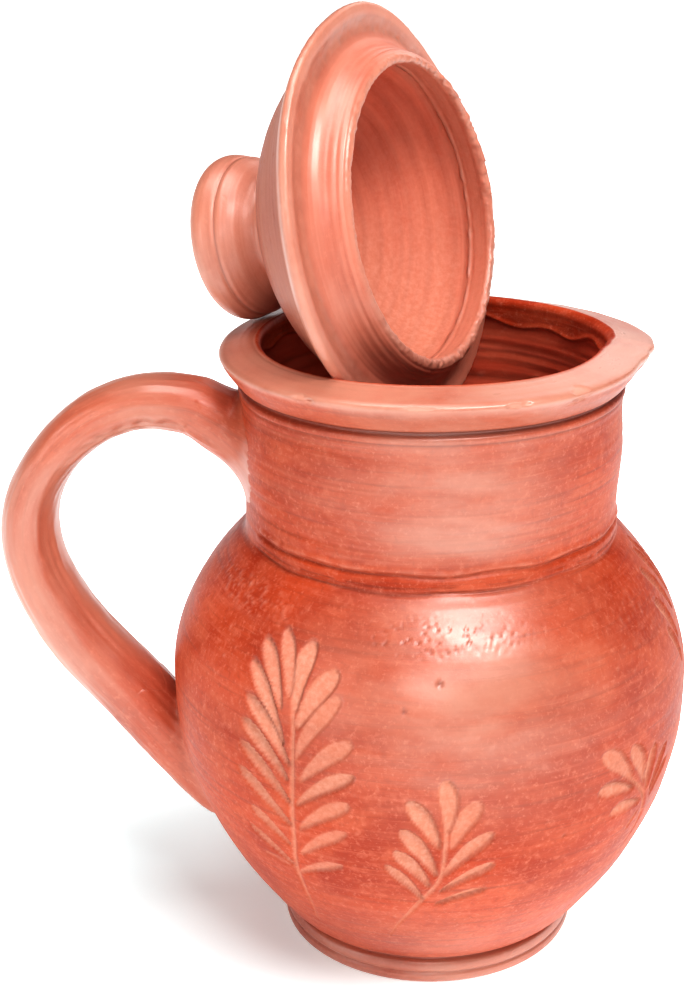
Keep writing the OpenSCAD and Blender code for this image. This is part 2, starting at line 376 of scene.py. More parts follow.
SIDE = [
    [-41.5, 71.5, -51.5, 84, 5.4, 0.6], [-36, 67.5, -42.5, 82, 5.0, 0.7], [-34.3, 64.5, -33.7, 78, 4.0, 0.8], [-32, 62.5, -27.5, 75, 3.2, 0.8],
    [-40.5, 68, -52, 72.5, 3.9, 0.85], [-36.5, 61.5, -47.5, 63.5, 3.5, 0.8], [-31.5, 60.5, -25, 69, 2.8, 0.7], [-36, 58, -39, 53.5, 1.1, 0.6],
]
SIDE_STEM = [[-41.5, 71.5], [-35, 62.5], [-33.5, 57], [-33.5, 51], [-35, 46]]
UPPER = [
    [2, 109, -3, 124, 3.0, 0.9], [-2, 107, -7, 122, 3.4, 1], [-7, 105, -14, 119, 3.6, 1], [-12, 99, -18, 112, 3.6, 0.9], [-13, 92, -18.5, 104, 3.0, 0.8],
    [5, 106, 15, 118, 3.4, 0.8], [1, 100, 13, 110, 3.6, 0.8], [-4, 94, 8, 102, 3.4, 0.7], [-8, 88, 3, 94, 2.8, 0.7],
]
UPPER_STEM = [[6, 114], [3, 107], [-2, 101], [-7, 96], [-10, 90], [-12, 82], [-13, 76]]
turned = lambda leaves, by, up: [[a + by, z + up, b + by, y + up, w, d] for a, z, b, y, w, d in leaves]
moved = lambda stem, by, up: [[a + by, z + up] for a, z in stem]
# The back isn't in the picture: the same three sprigs are taken to go on round it.
LEAVES = FROND + SPRIG + SIDE + UPPER + turned(FROND, 178, -1) + turned(SPRIG, 182, 2) + turned(SIDE, 172, 1)
STEMS = [FROND_STEM, SPRIG_STEM, SIDE_STEM, UPPER_STEM, moved(FROND_STEM, 178, -1), moved(SPRIG_STEM, 182, 2), moved(SIDE_STEM, 172, 1)]


def wrap(a):
    return (a + math.pi) % (2 * math.pi) - math.pi


def carving(az, s, rough):
    """Depth in mm and mask of the carved leaves and stems, and a painted shadow along each leaf's upper right edge."""
    depth, mask, edge = np.zeros_like(az), np.zeros_like(az), np.zeros_like(az)
    for a0, z0, a1, z1, width, cut in LEAVES:
        s0, s1 = s_of(z0), s_of(z1)
        r = skin_radius((z0 + z1) / 2)
        near = np.abs(s - (s0 + s1) / 2) < abs(s1 - s0) / 2 + 3
        if not near.any():
            continue
        x = wrap(az - a0 * RAD) * r
        y = s - s0
        ax, ay = (a1 - a0) * RAD * r, s1 - s0
        length = math.hypot(ax, ay)
        ax, ay = ax / length, ay / length
        t, p = x * ax + y * ay, x * ay - y * ax
        u = t / length
        bow = 0.05 * length * (1 if a1 > a0 else -1)
        p = p + bow * 4 * u * (1 - u) * (np.abs(u - 0.5) < 0.5)
        full = np.where(u < 0.64, np.clip(u / 0.64, 0.0, 1) ** 0.62 * 0.9 + 0.1, np.clip(1 - (np.clip(u - 0.64, 0, 1) / 0.36) ** 2.4, 0, 1) ** 0.5)
        half = width * 0.53 * full
        d = np.maximum(np.abs(p) - half, np.maximum(-t, t - length))
        m = smooth(0.42, -0.44, d + 0.06 * rough)
        # the tool went in on the upper right, so the floor slopes: deep along that side, shallow along the other
        side = p / (width / 2)
        here = cut * m * (0.74 + 0.34 * np.clip(side, -1, 1) + 0.08 * rough)
        # painted shadow: a dark band along the upper right wall of each cut, the side the light leaves in shade
        edge = np.maximum(edge, cut * gauss(d + 0.10, 0.46) * smooth(-0.5, 0.4, side))
        depth = np.maximum(depth, here)
        mask = np.maximum(mask, m * (0.35 + 0.65 * cut))
    for stem in STEMS:
        line = kept(("stem", tuple(map(tuple, stem))), lambda: curve([[a, s_of(z)] for a, z in stem], 4))
        if not (line[:, 1].min() - 3 < float(s[0]) < line[:, 1].max() + 3):
            continue
        best = np.full_like(az, 9.0)
        along = np.linspace(0, 1, len(line))
        where = np.zeros_like(az)
        for i in range(len(line) - 1):
            r = skin_radius(np.interp((line[i, 1] + line[i + 1, 1]) / 2, wall.s[outer], wall.p[outer, 1]))
            x, y = wrap(az - line[i, 0] * RAD) * r, s - line[i, 1]
            ex, ey = (line[i + 1, 0] - line[i, 0]) * RAD * r, line[i + 1, 1] - line[i, 1]
            t = np.clip((x * ex + y * ey) / (ex * ex + ey * ey + 1e-12), 0, 1)
            d = np.hypot(x - t * ex, y - t * ey)
            where = np.where(d < best, along[i], where)
            best = np.minimum(best, d)
        width = 0.62 - 0.34 * smooth(0.55, 1, where)
        m = np.exp(-((best / width) ** 2))
        fade = 1 - 0.45 * smooth(0.6, 1, where)
        depth = np.maximum(depth, 0.5 * m * fade)
        mask = np.maximum(mask, 0.9 * m * fade)
    return depth, mask, edge


# Worn spots on the rim's ridge and flakes beside it: azimuth, height, half width round, half height, depth.
CHIPS = [
    [-124, 179.8, 3.2, 0.7, 0.45], [-121.5, 179.3, 1.6, 0.9, 0.5], [-69, 179.6, 2.2, 0.6, 0.5], [-66, 179.9, 1.4, 0.5, 0.4], [-93, 179.7, 4.0, 0.5, 0.3],
    [-49, 180.4, 3.0, 0.8, 0.35], [-50.5, 178.6, 2.2, 0.35, 0.35], [-47.5, 179.2, 2.2, 0.35, 0.35], [-51.5, 177.4, 1.8, 0.35, 0.3], [-48.5, 177.9, 2.0, 0.3, 0.3],
    [40, 179.8, 2.5, 0.6, 0.4], [110, 179.5, 3.0, 0.7, 0.45], [163, 179.8, 2.2, 0.6, 0.4],
]
rs = np.random.RandomState(41)
# Fine scores that the rib left on the neck: middle, half length (both azimuth), height, slope, depth, width.
SCORES = [[rs.uniform(-180, 180), rs.uniform(8, 40), rs.uniform(134, 166), rs.uniform(-0.02, 0.03), rs.uniform(0.05, 0.2), rs.uniform(0.22, 0.5)] for _ in range(46)]
BELLY_SCORES = [[rs.uniform(-180, 180), rs.uniform(4, 16), rs.uniform(20, 118), rs.uniform(-0.04, 0.04), rs.uniform(0.03, 0.1), rs.uniform(0.22, 0.4)] for _ in range(34)]


def gauss(x, w):
    return np.exp(-((x / w) ** 2))


def jug_wall(az, s):
    """The jug's whole skin, outside and in, with everything the wheel, the rib and the knife left on it and its worn
    places, plus painted shadow in its hollows and a painted sheen on its front, its rim's top and its foot.
    """
    r, z, share = wall.at(s)
    nr, nz = wall.normal(s)
    az = wrap(az)
    out = s <= S_LIP
    d = np.zeros_like(az)
    carve, chip, shade, bare = (np.zeros_like(az) for _ in range(4))
    wob = 0.20 * ripples(11, az, s, (1, 4), (60, 260), 10) + 0.07 * ripples(12, az, s, (2, 9), (18, 60), 12)
    lift = 0.22 * ripples(13, az, 0 * s, (1, 4), (50, 90), 8) * smooth(150, 182, z)
    mid = float(np.mean(z))
    if out.all() or mid > 168:
        fine = grain(az, s, 60, 1.3, 21, 3)
        ring = ripples(14, az, s, (-1, 1), (1.5, 7), 22) * (0.6 + 0.4 * ripples(15, az, s, (1, 5), (20, 60), 8))
        amp = 0.022 + 0.020 * smooth(133, 137, z) * (1 - smooth(166, 170, z))
        d = d + amp * ring + 0.012 * fine
        if mid < 130:
            cut, mask, edge = carving(az, s, fine)
            d = d - 1.4 * cut + 0.12 * smooth(0.02, 0.3, cut) * smooth(0.6, 0.3, cut)
            carve = mask
            # painted shadow along each leaf's upper right edge, and painted shade low on the front left of the belly
            shade = 0.55 * edge + 0.26 * smooth(56, 24, z) * gauss(wrap(az + 112 * RAD) / RAD, 34)
            pit = spots(az, s, 70, 1.9, 0.16, (0.18, 0.42), 31)
            lots = gauss(wrap(az + 88 * RAD) / RAD, 19) * gauss(z - 118.2, 3.2) + 0.6 * gauss(wrap(az - 60 * RAD) / RAD, 25) * gauss(z - 100, 4)
            pit2 = spots(az, s, 62, 1.7, 0.6, (0.35, 0.62), 32) * np.clip(lots * 1.4, 0, 1)
            d = d - 0.08 * pit - 0.36 * pit2
            # painted shade in the pits
            shade = np.maximum(shade, 0.55 * pit2)
            # dark marks, each cut as a small hole and painted dark in it
            for a, zz, size in ((-87.5, 109, 0.75), (-95, 102.5, 0.6), (-60, 62, 0.5), (30, 96, 0.7), (120, 70, 0.6)):
                hole = gauss(np.hypot(wrap(az - a * RAD) * 68, z - zz), size)
                d = d - 0.55 * hole
                shade = np.maximum(shade, 0.8 * hole)
            burr = spots(az, s, 70, 5.5, 0.16, (0.3, 0.75), 33)
            patch = gauss(wrap(az + 145 * RAD) / RAD, 19) * gauss(z - 119.6, 3.2) + 0.35 * gauss(wrap(az + 30 * RAD) / RAD, 18) * gauss(z - 112, 9) + 0.5 * gauss(wrap(az - 95 * RAD) / RAD, 22) * gauss(z - 118, 3)
            crumbs = spots(az, s, 62, 1.9, 0.75, (0.45, 0.95), 34) * np.clip(patch * 1.3, 0, 1)
            d = d + 0.16 * burr + 0.42 * crumbs
            chip = np.maximum(chip, 0.5 * burr + 0.7 * crumbs)
            for a, h, zz, slope, deep, width in BELLY_SCORES:
                x = wrap(az - a * RAD) / RAD
                g = gauss(z - zz - slope * x, width) * smooth(h, h * 0.6, np.abs(x)) * (0.5 + 0.5 * fine)
                d = d - deep * g
                chip = np.maximum(chip, 0.35 * g)
            # the grooves above the foot and round it, with painted shade in them
            d = d - 0.5 * gauss(z - 8.3, 0.55)
            shade = np.maximum(shade, 0.75 * gauss(z - 8.3, 0.7))
            shade = np.maximum(shade, 0.35 * gauss(z - 3.8, 0.4) * (s < S_FOOT))
        if 118 < mid < 175:
            # each score is cut and painted dark, a painted shade in it, with a paler line just below it
            for a, h, zz, slope, deep, width in SCORES:
                x = wrap(az - a * RAD) / RAD
                g = gauss(z - zz - slope * x, width) * smooth(h, h * 0.6, np.abs(x))
                d = d - deep * g * (0.7 + 0.3 * fine)
                shade = np.maximum(shade, 1.2 * deep * g)
                chip = np.maximum(chip, 1.5 * deep * gauss(z - zz - slope * x + 0.55, width) * smooth(h, h * 0.6, np.abs(x)))
            gap = smooth(24, 34, np.abs(wrap(az - 177 * RAD)) / RAD)
            torn = lattice(az / (2 * math.pi) * 150, 0 * az, 150, 51)
            torn2 = lattice(az / (2 * math.pi) * 90, 0 * az + 3.3, 90, 52)
            w1 = 0.22 * ripples(53, az, 0 * az, (2, 14), (50, 60), 10) + 0.25 * (torn - 0.5)
            w2 = 0.30 * ripples(54, az, 0 * az, (2, 10), (50, 60), 10) + 0.3 * (torn2 - 0.5)
            ledge = gauss(z - 132.0 - w1, 0.62)
            lip = gauss(z - 133.3 - w1, 0.8)
            d = d + gap * (-0.5 * ledge + lip * (0.2 + 0.45 * torn))
            d = d + gap * 0.35 * smooth(127.4, 128.4, z) * smooth(131.9, 131.0, z)
            crack = gauss(z - 127.5 - w2, 0.42)
            hair = gauss(z - 129.1 - 0.6 * w2 - 0.2 * (torn - 0.5), 0.30) * smooth(0.25, 0.6, torn2)
            far = smooth(-58, -64, az / RAD) + 0.45
            d = d + gap * (-0.55 * crack * np.clip(far, 0, 1) - 0.32 * hair)
            # painted shade under the ledge and in the crack and the hairline
            shade = np.maximum(shade, gap * (0.32 * ledge + 0.6 * crack * np.clip(far, 0, 1) + 0.45 * hair))
            chip = np.maximum(chip, gap * 0.55 * lip * torn)
            # a fine groove below the rim and a deeper one under its bulge, each with painted shade in it
            bead = gauss(z - 168.3 - 0.12 * (torn - 0.5), 0.36)
            d = d - 0.34 * bead + 0.14 * gauss(z - 169.6, 0.7)
            shade = np.maximum(shade, 0.55 * bead)
            d = d - 0.75 * gauss(z - 171.3, 0.62) * out
            shade = np.maximum(shade, 0.95 * gauss(z - 171.4, 0.85) * out)
        if mid > 165:
            # the rim's ridge is painted lighter all round, in patches: partly edge wear, partly a painted highlight
            # along the ridge
            ridge = gauss(z - 179.6, 1.0) * (s < S_LIP)
            wear_and_sheen = lattice(az / (2 * math.pi) * 44, 0 * az + 7.1, 44, 61)
            chip = np.maximum(chip, ridge * (0.25 + 0.45 * wear_and_sheen) * (0.5 + 0.5 * fine))
            for a, zz, ha, hz, deep in CHIPS:
                x = wrap(az - a * RAD) / RAD
                q = (x / ha) ** 2 + ((z - zz) / hz) ** 2 + 0.5 * fine
                m = smooth(1.25, 0.5, q) * (s < S_LIP)
                d = d - deep * m
                chip = np.maximum(chip, m)
            # finger marks in the spout's channel, and the thick ragged end of the slip below the far inner edge
            inside = s > S_LIP
            edge = 176.0 + 0.9 * ripples(62, az, 0 * az, (3, 16), (50, 60), 12) - 1.2 * gauss(wrap(az - 58 * RAD) / RAD, 12)
            band = smooth(edge - 0.35, edge + 0.35, z)
            d = d + inside * (0.45 * band + 0.55 * gauss(z - edge - 0.6, 0.7) * (0.4 + 0.6 * wear_and_sheen))
            bare = inside * (1 - band)
            chan = gauss(wrap(az - 8 * RAD) / RAD, 20)
            d = d + chan * inside * 0.22 * np.sin((z - 176) * 1.6 + 3 * az) + chan * inside * 0.12 * fine
            chip = np.maximum(chip, 0.25 * spots(az, s, 58, 3.0, 0.2, (0.3, 0.6), 63))
            d = d - 0.05 * spots(az, s, 58, 2.4, 0.25, (0.25, 0.5), 64)
    else:
        bare = np.ones_like(az)
        ring = ripples(71, az, s, (-1, 1), (3.2, 9), 16)
        d = d + 0.22 * ring + 0.04 * grain(az, s, 50, 2.0, 72, 2)
        burr = spots(az, s, 48, 9, 0.22, (0.5, 1.3), 73)
        d = d + 0.5 * burr
        chip = 0.6 * burr
        # painted shade in the hollows between the throwing rings inside
        shade = np.clip(0.22 * smooth(0.3, -1.2, ring), 0, 1)
        w = 0.5 * ripples(74, az, 0 * az, (1, 6), (50, 60), 8)
        for zz, gap0 in ((166.5, 30), (158.0, -20), (149, 90)):
            arc = smooth(70, 55, np.abs(wrap(az - gap0 * RAD)) / RAD)
            g = gauss(z - zz - w, 0.5) * arc
            d = d + 0.55 * g - 0.5 * gauss(z - zz - w + 1.0, 0.5) * arc
            chip = np.maximum(chip, 0.25 * g)
    # painted sheen and light: the colour is painted paler on the front of the neck and belly, where the soft highlight
    # lies, a little low on the front and round the back, on the rim's top, which faces the lamps, and round the foot,
    # lit from the floor; the same mask also sets how glossy the slip is
    pale = gauss(wrap(az + 82 * RAD) / RAD, 33) * (0.85 * smooth(128, 140, z) + gauss(z - 108, 30) * smooth(130, 126, z) + 0.3 * smooth(60, 20, z))
    pale = pale + 0.7 * gauss(wrap(az - 100 * RAD) / RAD, 45) * (0.4 + 0.6 * gauss(z - 110, 40))
    pale = np.clip(pale + 0.15 * smooth(168, 171, z) + 1.1 * smooth(177.5, 180.2, z) + 0.7 * smooth(9, 7.5, z), 0, 1.5)
    radius = r + SPOUT_OUT * pinch(az) * share + nr * d + wob * smooth(0, 6, z)
    height = np.maximum(z + nz * d + lift, 0)
    p = np.stack([radius * np.cos(az), radius * np.sin(az), height], -1)
    return p, {"grain": p * 0.001, "carve": carve, "chip": np.clip(chip, 0, 1), "shade": np.clip(shade, 0, 1), "bare": np.clip(bare, 0, 1), "rubbed": pale * out}


def still(p, normal, value=0.0, bare=1.0):
    n = len(p)
    z = np.zeros(n)
    return {"grain": p * 0.001, "carve": z, "chip": z, "shade": z + value, "bare": z + bare, "rubbed": z}


N = 544
COLS = columns(N, -88 * RAD)
COARSE = COLS[::4]


def add_band(rings, fn, az, stations, outward, v0, v1):
    grid(rings, fn, az, stations, outward, v0, v1)


# belly: outside up, hidden face, inside down, hidden face
g = Rings()
st = rows(wall, S_FOOT, S_BELLY, 0.86, [(S_FOOT, 1.2, 2.0), (S_BELLY, 2.2, 1.9)])
add_band(g, jug_wall, COLS, st, 1, 0.0, 0.72)
g.cap()
add_band(g, jug_wall, COARSE, rows(wall, S_NECK_IN, S_END, 3.6), 1, 0.75, 0.98)
g.cap()
belly = g.mesh("belly_wall", True)

g = Rings()
st = rows(wall, S_BELLY, S_NECK, 0.62, [(s_of(128.5), 1.6, 1.6), (s_of(132.5), 1.8, 1.5), (S_NECK, 2.0, 1.6)])
add_band(g, jug_wall, COLS, st, 1, 0.0, 0.62)
g.cap()
add_band(g, jug_wall, COLS[::2], rows(wall, S_RIM_IN, S_NECK_IN, 0.95), 1, 0.66, 0.98)
g.cap()
neck = g.mesh("neck_wall", True)

g = Rings()
add_band(g, jug_wall, COLS, rows(wall, S_NECK, S_RIM_IN, 0.42, [(s_of(171.2), 1.0, 1.4)]), 1, 0.0, 0.95)
g.cap()
rim = g.mesh("rim_lip", True)

# foot: a solid disc, its underside a little wavy where the wire cut it off the wheel
g = Rings()


def disc(rings, az, radii, z, normal_z, v0, v1, relief, dark):
    for i, rad in enumerate(radii):
        zz = z + relief * ripples(81, az, np.full_like(az, rad), (0, 2), (5, 30), 8) * smooth(0, 8, radii[0] - rad + 0 * az)
        p = np.stack([rad * np.cos(az), rad * np.sin(az), zz], -1)
        n = np.tile([0, 0, normal_z], (len(az), 1)).astype(float)
        rings.add(p, n, still(p, n, dark), v0 + (v1 - v0) * i / len(radii))
    p = np.array([[0, 0, z]], float)
    rings.add(p, np.array([[0, 0, normal_z]], float), still(p, None, dark), v1)


p = np.zeros((1, 3))
# the underside is painted a little darker: painted shade under the foot
under = [42.2, 41.4, 38, 33, 27, 20, 12, 5]
g.add(np.zeros((1, 3)), np.array([[0, 0, -1.0]]), still(np.zeros((1, 3)), None, 0.15), 0.0)
for i, rad in enumerate(under[::-1]):
    az = COARSE
    zz = np.abs(0.12 * ripples(81, az, np.full_like(az, rad), (0, 3), (5, 30), 8)) * smooth(0, 9, 42.2 - rad + 0 * az)
    p = np.stack([rad * np.cos(az), rad * np.sin(az), zz], -1)
    g.add(p, np.tile([0.0, 0.0, -1.0], (len(az), 1)), still(p, None, 0.15), 0.02 + 0.3 * i / len(under))
add_band(g, jug_wall, COLS, rows(wall, 0, S_FOOT, 0.42, [(S_FOOT, 0.8, 1.5)]), 1, 0.36, 0.6)
g.cap()
# the floor inside is painted a little darker: painted shade
disc(g, COARSE, [36, 31, 25, 18, 11, 5], 8, 1, 0.64, 0.98, 0.15, 0.1)
foot = g.mesh("foot_disc", False)

# ---------------------------------------------------------------- the strap handle and its luted ends

HANDLE_AZ = 177 * RAD
OUT = np.array([math.cos(HANDLE_AZ), math.sin(HANDLE_AZ), 0])
SIDEWAYS = np.array([-math.sin(HANDLE_AZ), math.cos(HANDLE_AZ), 0])
if SIDEWAYS[1] > 0:
    SIDEWAYS = -SIDEWAYS
UP = np.array([0, 0, 1.0])
# distance from the axis, height, thickness, breadth, and the turn of the section's plane (degrees from the vertical)
STRAP = [
    [50.8, 153.2, 18.8, 25, 2], [54, 154.1, 18.4, 24.5, 6], [58, 155.8, 17.6, 23.5, 12], [62.5, 158.5, 16.8, 22.4, 18], [67, 160.9, 16.2, 21.4, 12], [73, 162, 15.7, 20.6, 4],
    [82, 162, 15, 20, -10], [91, 159.4, 14.8, 20, -23], [99.8, 154.4, 14.4, 20, -36], [107.3, 147.4, 14.2, 20, -50], [113.4, 139, 14.6, 20, -64],
    [117, 130, 15.8, 20, -78], [118, 120, 16.8, 20, -90], [116.2, 110, 17.8, 20.5, -103], [111.4, 99, 19, 21, -115], [104.5, 88, 19.8, 21.5, -124],
    [96.5, 78.5, 20.3, 22, -131], [88, 69.2, 20.6, 22.5, -133], [80, 60, 20.8, 23, -132], [72, 50.5, 20.8, 24, -130], [65.5, 43, 20, 25, -129], [60.5, 37.2, 17, 24, -128],
]
strap = Outline([[a, b, c, d, e] for a, b, c, d, e in STRAP], 12)


def strap_at(s):
    rho, z, thick, broad, turn = strap.at(s)
    r0, z0 = strap.at(s - 0.8)[:2]
    r1, z1 = strap.at(s + 0.8)[:2]
    dr, dz = r1 - r0, z1 - z0
    n = np.hypot(dr, dz)
    dr, dz = dr / n, dz / n
    # near the neck the sections stand upright, so that the root meets the wall squarely
    k = smooth(13, 1, s)
    ur, uz = -dz, dr
    ur, uz = (1 - k) * ur + k * 0.0, (1 - k) * uz + k * 1.0
    m = np.hypot(ur, uz)
    ur, uz = ur / m, uz / m
    return rho, z, thick, broad, ur, uz


def strap_surface(th, s, extra=0.0):
    """th 0 is the strap's back, away from the jug, and 90 degrees its side towards the viewer."""
    rho, z, thick, broad, ur, uz = strap_at(s)
    c, q = np.cos(th), np.sin(th)
    e = 2 / 2.35
    x = np.sign(c) * np.abs(c) ** e * thick / 2
    y = np.sign(q) * np.abs(q) ** e * broad / 2
    f = s / strap.length
    lumps = 0.15 * ripples(91, th, s, (1, 3), (35, 110), 10) + 0.04 * ripples(92, th, s, (2, 7), (8, 30), 12)
    pull = 0.045 * ripples(93, th, s, (6, 26), (30, 160), 18)
    d = lumps + pull + 0.015 * grain(th, s, 9, 1.2, 94, 3)
    low = smooth(0.30, 0.52, f) * (1 - smooth(0.93, 1.0, f))
    # two shallow valleys that the potter's fingers left on each side of a rounded ridge
    for c0, deep in ((138, 0.75), (226, 0.6)):
        d = d - deep * low * gauss(wrap(th - c0 * RAD) / RAD, 24)
    for c0 in (84, 276):
        d = d + 0.35 * low * gauss(wrap(th - c0 * RAD) / RAD, 26)
    hi = smooth(0.05, 0.12, f) * (1 - smooth(0.26, 0.38, f))
    d = d - 0.4 * hi * gauss(wrap(th - 118 * RAD) / RAD, 12) * (1 + 0.5 * ripples(95, th, s, (1, 3), (5, 14), 6))
    # thumb mark where the strap was pressed on
    tx, ty = s - 13.5, wrap(th - 106 * RAD) / RAD
    moon = gauss(np.hypot(tx / 1.0, ty / 3.6) - 6.2, 1.0) * smooth(-1.5, 3.0, ty / 3.6 + 0.25 * tx)
    d = d + 0.35 * moon - 0.5 * gauss(np.hypot(tx, ty / 3.6), 5.5)
    l = np.hypot(x, y) + 1e-9
    ramp = smooth(-0.5, 6, s) * (1 - smooth(strap.length - 4, strap.length, s))
    x, y = x + d * ramp * x / l + extra * x / l, y + d * ramp * y / l + extra * y / l
    # painted shade along the valley on the strap's inner side
    shade = np.clip(0.25 * low * gauss(wrap(th - 132 * RAD) / RAD, 13), 0, 1)
    chip = 0.35 * spots(th, s, 9, 4.0, 0.12, (0.3, 0.6), 96) + 0.25 * moon
    bend = np.maximum(1 - smooth(9, 27, s), smooth(strap.length - 42, strap.length - 14, s))
    return (rho, z, ur, uz, bend), x, y, chip, shade


def put(section, x, y):
    """A point of a section. Near the jug the sections are rolled round its axis, so that they lie along the wall."""
    rho, z, ur, uz, bend = section
    r = rho + ur * x
    q = r + (r * np.cos(y / r) - r) * bend
    w = y + (r * np.sin(y / r) - y) * bend
    return q[:, None] * OUT + w[:, None] * SIDEWAYS + (z + uz * x)[:, None] * UP


def depth_under(p):
    """How far a point lies outside the jug's skin, in mm, and the skin's slope there."""
    r = np.hypot(p[:, 0], p[:, 1])
    skin = skin_radius(np.clip(p[:, 2], 0.5, 179))
    a, b = skin_radius(np.clip(p[:, 2] - 1, 0.5, 179)), skin_radius(np.clip(p[:, 2] + 1, 0.5, 179))
    slope = (b - a) / 2
    return (r - skin) / np.sqrt(1 + slope**2), r, skin


def tuck(p, deep=2.4):
    """Points inside the wall are held just under the skin, so that nothing shows in the mouth."""
    d, r, skin = depth_under(p)
    low = skin - deep * 1.05
    k = np.where(r < low, low / np.maximum(r, 1e-6), 1)
    out = p.copy()
    out[:, 0] *= k
    out[:, 1] *= k
    return out


def strap_grain(th, s):
    """Coordinates for the clay's grain that run along the strap, as it was pulled."""
    return np.stack([s * 0.0005, 0.0105 * np.sin(th - 0.17) + 0.3, 0.0105 * np.cos(th - 0.17)], -1)


def strap_gloss_and_sheen(s):
    """How glossy the strap is and how far it is painted paler, a painted sheen: least near its ends, where the clay was
    worked on.
    """
    return 0.45 + 0.55 * smooth(12, 34, s) * smooth(strap.length - 34, strap.length - 60, s)


def strap_points(th, s):
    section, x, y, chip, shade = strap_surface(th, s)
    p = tuck(put(section, x, y))
    q = strap_grain(th, s)
    z = np.zeros(len(th))
    return p, {"grain": q, "carve": z, "chip": np.clip(chip, 0, 1), "shade": shade, "bare": z, "rubbed": strap_gloss_and_sheen(s)}


def luted(th, s, k_of, lo, hi, from_top):
    """The clay worked round the strap's end: the strap's skin rounded into the jug's."""
    section, x, y, chip, shade = strap_surface(th, s)
    l = np.hypot(x, y)
    k = k_of(th, s)
    t = np.zeros(len(th))
    found = np.zeros(len(th), bool)
    steps = 44
    prev = None
    best, rest = np.full(len(th), -1e9), np.zeros(len(th))
    for i in range(steps + 1):
        a = k * 1.12 * i / steps
        b, _, _ = depth_under(put(section, x * (l + a) / l, y * (l + a) / l))
        h = np.maximum(k - np.abs(a - b), 0) / k
        f = np.minimum(a, b) - h * h * k / 4
        rest = np.where(f > best, a, rest)
        best = np.maximum(best, f)
        if prev is not None:
            hit = ~found & (f > 0)
            w = np.clip(-prev[1] / (f - prev[1] + 1e-12), 0, 1)
            t = np.where(hit, prev[0] + (a - prev[0]) * w, t)
            found |= hit
        else:
            found = f > 0
        prev = (a, f)
    t = np.where(found, t, rest)
    return section, x, y, l, t, chip, shade


def k_upper(th, s):
    deg = wrap(th) / RAD
    under = gauss(np.abs(deg) - 180, 62)
    side = gauss(np.abs(deg) - 95, 36)
    return 4.6 + 8.6 * under + 4.5 * side


def k_lower(th, s):
    deg = wrap(th) / RAD
    return 3.2 + 2.6 * gauss(deg, 60) + 1.2 * gauss(np.abs(deg) - 95, 30)


def lute_points(th, s, k_of, s_free, sign, seed, inner):
    """One ring of the worked clay, its outside or its hidden inside."""
    section, x, y, l, t, chip, shade = luted(th, s, k_of, 0, 0, True)
    # feather out along the strap: outside it dips under the strap's own skin at its free edge
    ragged = s_free + sign * 1.6 * ripples(seed, th, 0 * th, (1, 7), (50, 60), 8)
    dip = 0.35 * smooth(2.2, -0.4, sign * (ragged - s))
    thick = 0.12 + 0.05 * ripples(seed + 1, th, s, (2, 9), (6, 24), 10)
    skin = t + thick * (1 - smooth(2.2, -0.4, sign * (ragged - s))) - dip
    work = 0.09 * grain(th, s, 12, 2.6, seed + 2, 3)
    skin = skin + work * (1 - smooth(3.0, 0.5, sign * (ragged - s))) * smooth(0.2, 2.0, t + 0.6)
    if inner:
        skin = np.minimum(skin, 0.0) - 0.9
    p = tuck(put(section, x * (l + skin) / l, y * (l + skin) / l), 2.0 if not inner else 2.6)
    q = strap_grain(th, s)
    z = np.zeros(len(th))
    edge = gauss(sign * (ragged - s), 1.2)
    tear = spots(th, s, 12, 3.0, 0.35, (0.35, 0.9), seed + 3)
    return p, {"grain": q, "carve": z, "chip": np.clip(chip + 0.15 * edge + 0.3 * tear, 0, 1), "shade": shade, "bare": z, "rubbed": strap_gloss_and_sheen(s)}


def sweep(rings, fn, th, stations, v0, v1, outward=None):
    grid(rings, fn, th, stations, outward, v0, v1, 0.2)


def pole(rings, at, normal, v):
    p = np.array([at], float)
    rings.add(p, np.array([normal], float), {"grain": p * 0.001, "carve": np.zeros(1), "chip": np.zeros(1), "shade": np.zeros(1), "bare": np.zeros(1), "rubbed": np.zeros(1)}, v)


TH = np.linspace(-math.pi, math.pi, 112, endpoint=False)
stations = np.concatenate([np.arange(0.2, 30, 0.7), np.arange(30, strap.length - 0.3, 0.85), [strap.length - 0.2]])
g = Rings()
first, _ = strap_points(TH, np.full_like(TH, 0.2))
pole(g, first.mean(0), [-OUT[0], -OUT[1], 0], 0.0)
g.cap()
sweep(g, strap_points, TH, stations, 0.02, 0.98)
g.cap()
last, _ = strap_points(TH, np.full_like(TH, strap.length - 0.2))
pole(g, last.mean(0), [0, 0, -1], 1.0)
handle = g.mesh("strap_handle", False)

TH2 = np.linspace(-math.pi, math.pi, 200, endpoint=False)


def make_lute(name, k_of, wall_end, free, sign, seed):
    g = Rings()
    fn = lambda th, s: lute_points(th, s, k_of, free, sign, seed, False)
    fi = lambda th, s: lute_points(th, s, k_of, free, sign, seed, True)
    st = np.linspace(wall_end, free + sign * 3.2, max(12, int(abs(free + sign * 3.2 - wall_end) / 0.33)))
    sweep(g, fn, TH2, st, 0.0, 0.8)
    before = len(g.normals)
    sweep(g, fi, TH2, st[::-6], 0.82, 1.0)
    g.normals[before:] = [-n for n in g.normals[before:]]
    return g.mesh(name, True)


upper_lute = make_lute("upper_lute_clay", k_upper, 0.6, 20.0, 1, 111)
lower_lute = make_lute("lower_lute_clay", k_lower, strap.length - 1.0, strap.length - 44, -1, 121)

# ---------------------------------------------------------------- the lid, in its own frame with its axis up

